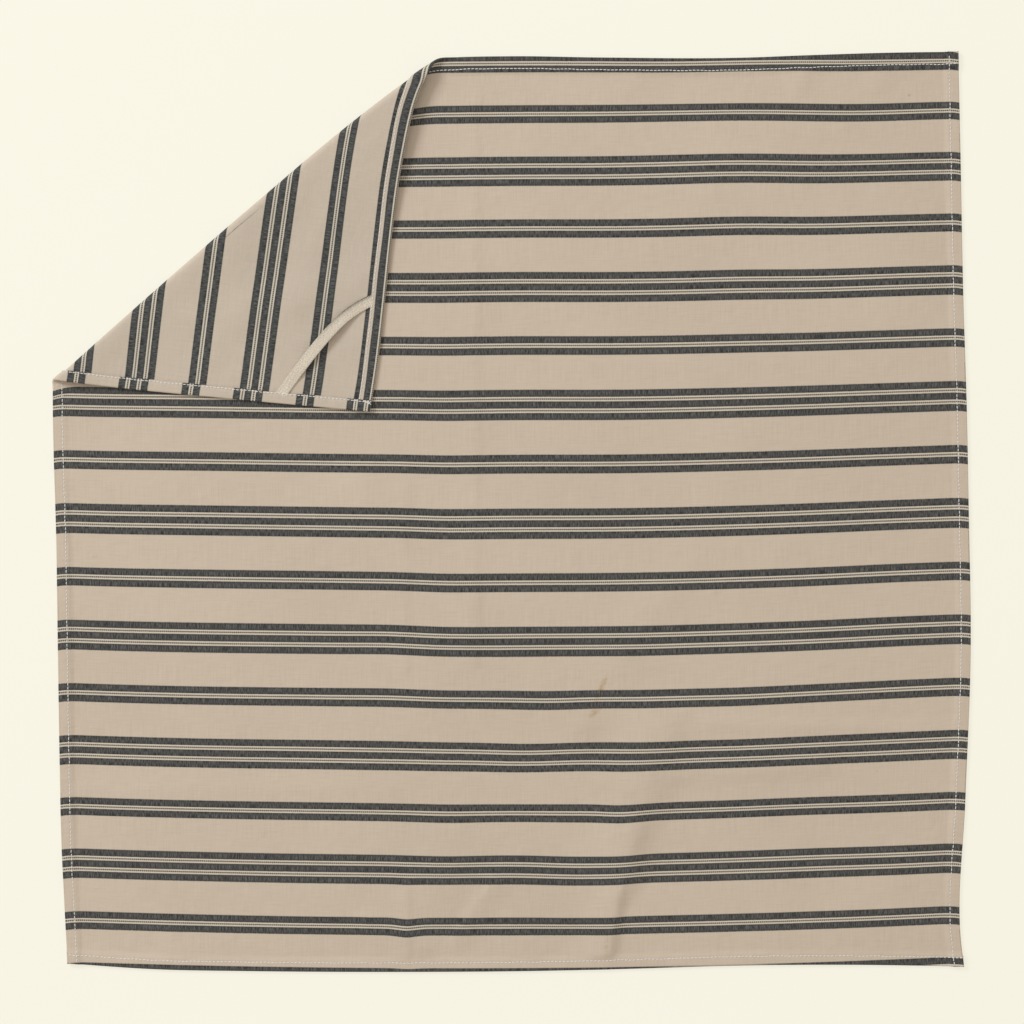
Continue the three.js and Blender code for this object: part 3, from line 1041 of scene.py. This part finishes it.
# %% Woven threads group
def build_threads(graph, given):
    turns = graph.math("DIVIDE", math.pi, given["Pitch"])
    warp, weft = (graph.math("SINE", graph.math("MULTIPLY", place, turns))
                  for place in graph.split(given["Weave"]))
    bumps = graph.math("MULTIPLY_ADD", graph.math("MULTIPLY", warp, weft), 0.5, 0.5)
    picks = graph.noise(graph.stretched(given["Weave"], (55, 1500, 1)), 1.0, 2.0)
    ends = graph.noise(graph.stretched(given["Weave"], (1400, 45, 1), (7, 3, 0)), 1.0, 2.0)
    uneven = graph.math("ADD", picks, ends)
    height = graph.math("ADD", bumps, graph.math("MULTIPLY", uneven, given["Slub"]))
    return {"Height": height, "Uneven": graph.math("SUBTRACT", uneven, 1.0), "Bumps": bumps}


threads = group("woven threads", ["Weave"], {"Pitch": 0.0005, "Slub": 1.0},
                ["Height", "Uneven", "Bumps"], build_threads)

# %% [markdown]
# ### Puckers beside the stitches
#
# Thread pulled tight gathers the cloth a little. Each row of stitches lies in a shallow groove,
# and short puckers run away from it on both sides and fade within a centimetre.



# %% Pucker group
def build_puckers(graph, given):
    (upright_gap, level_gap), (u, v) = graph.split(given["Seams"]), graph.split(given["Weave"])
    total = None
    for gap, along, seed in ((upright_gap, v, 0.0), (level_gap, u, 4.0)):
        near = graph.math("ABSOLUTE", gap)
        groove = graph.math("EXPONENT", graph.math("MULTIPLY", near, -1 / 0.0009))
        fade = graph.math("EXPONENT", graph.math("MULTIPLY", near, -1 / 0.006))
        where = graph.node("CombineXYZ", {0: along, 1: seed, 2: 0.0}).outputs[0]
        gather = graph.noise(where, 190.0, 2.0)
        gather = graph.math("MULTIPLY", graph.math("SUBTRACT", gather, 0.5), 2.2)
        here = graph.math("SUBTRACT", graph.math("MULTIPLY", gather, fade), groove)
        total = here if total is None else graph.math("ADD", total, here)
    return {"Height": total}


puckers = group("puckers", ["Weave", "Seams"], {}, ["Height"], build_puckers)

# %% [markdown]
# ### Signs of use, and one painted shadow
#
# The cloth is washed and used: a rusty stain, a few specks, and an unevenness of tone so slow
# that it is only seen across the whole cloth. One more mark, in the same rusty brown, is painted
# shadow: the shade at the bottom end of a ridge by the bottom hem. The marks are soft spots at
# given places, stretched along a direction.

# %% Marks group
# Marks: centre (u, v), half length, half width in mm, angle in degrees, strength.
MARKS = [((64, -129), 14, 2.6, 68, 0.85), ((59, -146), 6, 3.4, 40, 0.7),
         # Painted shadow, not a stain: the brownish shade at the bottom end of the ridge by the bottom
         # hem.
         ((67, -322), 12, 2.2, 88, 0.3),
         ((-235, -144), 4, 2.4, 10, 0.22), ((-179, -239), 5, 2.4, 80, 0.16),
         ((288, 302), 1.6, 1.2, 0, 0.8), ((264, -188), 1.3, 1.0, 0, 0.9),
         ((263, -197), 1.0, 0.9, 0, 0.8), ((-300, -36), 3, 1.5, 20, 0.2),
         ((150, -60), 7, 2.0, 15, 0.10), ((-60, 215), 5, 3.0, 100, 0.10)]


def build_marks(graph, given):
    total = None
    for (u, v), half_length, half_width, angle, strength in MARKS:
        turned = graph.node("Mapping", {"Vector": given["Weave"],
                                        "Location": (u * MM, v * MM, 0),
                                        "Rotation": (0, 0, math.radians(angle)),
                                        "Scale": (half_length * MM, half_width * MM, 1)},
                            vector_type="TEXTURE").outputs[0]
        flat = graph.times(turned, (1, 1, 0))
        away = graph.node("VectorMath", {0: flat}, operation="LENGTH").outputs["Value"]
        spot = graph.math("MULTIPLY", graph.math("SUBTRACT", 1.0, away, clamp=True), strength)
        total = spot if total is None else graph.math("MAXIMUM", total, spot)
    ragged = graph.noise(given["Weave"], 420.0, 3.0)
    ragged = graph.math("MULTIPLY", graph.math("SUBTRACT", ragged, 0.25, clamp=True), 3.0)
    slow = graph.math("SUBTRACT", graph.noise(given["Weave"], 9.0, 2.0), 0.5)
    return {"Stain": graph.math("MULTIPLY", total, ragged, clamp=True), "Tone": slow}


marks = group("marks of use and painted shadow", ["Weave"], {}, ["Stain", "Tone"], build_marks)

# %% [markdown]
# ### The three finishes
#
# Cotton is matt, with a trace of sheen from its loose fibres. The dark bands have fine ribs, where
# the paler warp shows through, and the reverse of the cloth is a little greyer than its front.


# %% Cotton cloth
ECRU, PALE_PICK, DARK_PICK = linear(204, 188, 169), linear(217, 205, 186), linear(46, 44, 41)
DARK_YARN, DARK_RIB, RUST_AND_SHADOW = linear(28, 34, 38), linear(112, 112, 109), linear(172, 137, 84)
GREYER = (0.95, 0.97, 0.985, 1)
CLOTH_PITCH, TAPE_PITCH, TWIST_PITCH = 0.52, 0.8, 0.55


def new_material(name):
    """An empty node material, its Graph and its shader."""
    made = bpy.data.materials.new(name)
    made.use_nodes = True
    made.node_tree.nodes.clear()
    graph = Graph(made.node_tree)
    shader = graph.node("BsdfPrincipled")
    graph.node("OutputMaterial", {0: shader.outputs[0]})
    return made, graph, shader


def set_shader(graph, shader, specular, **sockets):
    """Join colour, normal and roughness to the shader, and set how much it reflects. A socket's
    name is written with an underscore for its space."""
    for title, socket in sockets.items():
        graph.tree.links.new(socket, shader.inputs[title.replace("_", " ")])
    shader.inputs["Specular IOR Level"].default_value = specular


def make_cotton():
    made, graph, shader = new_material("striped cotton")
    weave, seams = graph.flat_map("weave"), graph.flat_map("seams")
    stripe = graph.use(stripes, {"Weave": weave})
    cloth = graph.use(threads, {"Weave": weave, "Pitch": CLOTH_PITCH * MM, "Slub": 0.9})
    mark = graph.use(marks, {"Weave": weave})
    pucker = graph.use(puckers, {"Weave": weave, "Seams": seams})

    rib = graph.noise(graph.stretched(weave, (1500, 240, 1)), 1.0, 2.0)
    rib = graph.math("MULTIPLY", graph.math("SUBTRACT", rib, 0.36, clamp=True), 2.0, clamp=True)
    colour = graph.mix(stripe["Pale"], ECRU, PALE_PICK)
    colour = graph.mix(stripe["Pick"], colour, DARK_PICK)
    # The rusty stains, and in the same brown one line of painted shadow by the bottom hem.
    colour = graph.mix(mark["Stain"], colour, RUST_AND_SHADOW)
    colour = graph.mix(stripe["Dark"], colour, graph.mix(rib, DARK_YARN, DARK_RIB))
    tone = graph.math("MULTIPLY_ADD", mark["Tone"], 0.10, 1.0)
    tone = graph.math("ADD", tone, graph.math("MULTIPLY", cloth["Uneven"], 0.17))
    reverse, _ = graph.split(graph.flat_map("side"))
    colour = graph.mix(reverse, graph.times(colour, tone), GREYER, blend="MULTIPLY")

    normal = graph.bump(pucker["Height"], 0.00022)
    normal = graph.bump(graph.noise(weave, 60.0, 4.0, 0.6), 0.0007, normal=normal)
    normal = graph.bump(cloth["Height"], 0.00005, 0.8, normal=normal)
    rough = graph.math("MULTIPLY_ADD", cloth["Bumps"], 0.06, 0.86)
    set_shader(graph, shader, 0.2, Base_Color=colour, Normal=normal, Roughness=rough)
    shader.inputs["Sheen Weight"].default_value = 0.06
    shader.inputs["Sheen Roughness"].default_value = 0.5
    return made


# %% Tape and thread
def make_tape():
    """Ecru tape with a nubbly weave. The tops of the weave are lighter and the hollows darker, which
    is painted shade. Both selvedges are a little darker, and along the upper one, towards the tape's
    upper end, a dark line of painted shade stands for the gap under its lifted edge.
    """
    made, graph, shader = new_material("loop tape")
    weave = graph.flat_map("weave")
    along, across = graph.split(weave)
    cloth = graph.use(threads, {"Weave": weave, "Pitch": TAPE_PITCH * MM, "Slub": 1.2})
    to_edge = graph.math("SUBTRACT", TAPE_WIDTH / 2 * MM, graph.math("ABSOLUTE", across))
    edge = graph.math("EXPONENT", graph.math("MULTIPLY", to_edge, -1 / 0.0011))
    nubs = graph.math("SUBTRACT", graph.noise(weave, 1000.0, 1.0), 0.5)
    tone = graph.math("MULTIPLY_ADD", cloth["Uneven"], 0.25, 0.96)
    tone = graph.math("MULTIPLY_ADD", nubs, 0.7, tone)
    # Painted shade in the weave: lighter on the tops of the threads, darker in the hollows between
    # them.
    tone = graph.math("MULTIPLY_ADD", cloth["Bumps"], 0.12, tone)
    # Painted shade: a dark line along the upper selvedge, growing towards the tape's upper end, for
    # the gap under the lifted edge. Both edges are also a little darker.
    upper = graph.math("GREATER_THAN", across, 0.0)
    shaded = graph.math("MULTIPLY", along, 1 / 0.03, clamp=True)
    shaded = graph.math("MULTIPLY", graph.math("MULTIPLY", upper, shaded), 0.85)
    tone = graph.math("SUBTRACT", tone, graph.math("MULTIPLY", edge, graph.math("ADD", shaded, 0.15)))
    set_shader(graph, shader, 0.2, Base_Color=graph.times(linear(217, 205, 187)[:3], tone),
               Normal=graph.bump(cloth["Height"], 0.0002),
               Roughness=graph.math("MULTIPLY_ADD", cloth["Bumps"], 0.06, 0.84))
    return made


def make_thread():
    """White thread, whose twist shows as slanting bands: a bump, and the same bands painted into its
    colour as painted shade, darker in the grooves between the plies.
    """
    made, graph, shader = new_material("white sewing thread")
    along, around = graph.split(graph.flat_map("thread"))
    slant = graph.math("ADD", along, graph.math("MULTIPLY", around, 0.6))
    twist = graph.math("SINE", graph.math("MULTIPLY", slant, 2 * math.pi / (TWIST_PITCH * MM)))
    # Painted shade: the colour is darker where the twist's bump is low.
    shade = graph.math("MULTIPLY_ADD", twist, 0.05, 0.95)
    set_shader(graph, shader, 0.35, Base_Color=graph.times(linear(241, 239, 234)[:3], shade),
               Normal=graph.bump(twist, 0.00004),
               Roughness=graph.math("MULTIPLY_ADD", twist, 0.04, 0.5))
    return made


# %% Each piece gets its finish
FINISH = {"woven_cotton": make_cotton(), "loop_tape": make_tape(), "sewing_thread": make_thread()}
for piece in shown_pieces():
    piece.data.materials.clear()
    piece.data.materials.append(FINISH[piece["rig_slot"]])

# %% [markdown]
# ## The stage
#
# A plain pale floor, a pale sky that fills the shadows, and one wide soft light from the upper
# left, low enough to show the relief. The camera looks straight down from 1.7 m, so far that the
# nearer layers of the fold look no larger than the cloth. VIEW_WIDTH is seen at VIEW_HEIGHT.

# %% Floor, lights and camera
VIEW_WIDTH, VIEW_CENTRE, VIEW_HEIGHT = 0.7373, (0.0004, -0.0007), 0.003
PAPER = linear(249, 246, 231)

floor_mesh = bpy.data.meshes.new("floor")
floor_mesh.from_pydata([(-3, -3, 0), (3, -3, 0), (3, 3, 0), (-3, 3, 0)], [], [(0, 1, 2, 3)])
floor = bpy.data.objects.new("floor", floor_mesh)
bpy.context.scene.collection.objects.link(floor)
paper, _, paper_shader = new_material("pale paper")
for title, value in (("Base Color", tuple(0.25 * part for part in PAPER)), ("Emission Color", PAPER),
                     ("Emission Strength", 0.76), ("Roughness", 0.95), ("Specular IOR Level", 0.0)):
    paper_shader.inputs[title].default_value = value
floor_mesh.materials.append(paper)

world = bpy.data.worlds.new("studio")
world.use_nodes = True
sky = world.node_tree.nodes["Background"].inputs
sky["Color"].default_value = (1.0, 0.95, 0.88, 1)
sky["Strength"].default_value = 0.65
bpy.context.scene.world = world

window = bpy.data.lights.new("window", "AREA")
window.size, window.energy, window.color = 1.4, 106, (0.93, 1.0, 1.08)
window_light = bpy.data.objects.new("window", window)
window_light.location = (-2.9, 2.3, 2.45)
window_light.rotation_euler = (-window_light.location).to_track_quat("-Z", "Y").to_euler()
bpy.context.scene.collection.objects.link(window_light)

camera_data = bpy.data.cameras.new("camera")
camera_data.lens, camera_data.sensor_width = 85, 36
camera = bpy.data.objects.new("camera", camera_data)
distance = VIEW_WIDTH * camera_data.lens / camera_data.sensor_width
camera.location = (*VIEW_CENTRE, distance + VIEW_HEIGHT)
bpy.context.scene.collection.objects.link(camera)
bpy.context.scene.camera = camera
bpy.context.scene.view_settings.view_transform = "Standard"
print(f"camera {distance:.2f} m above the cloth")
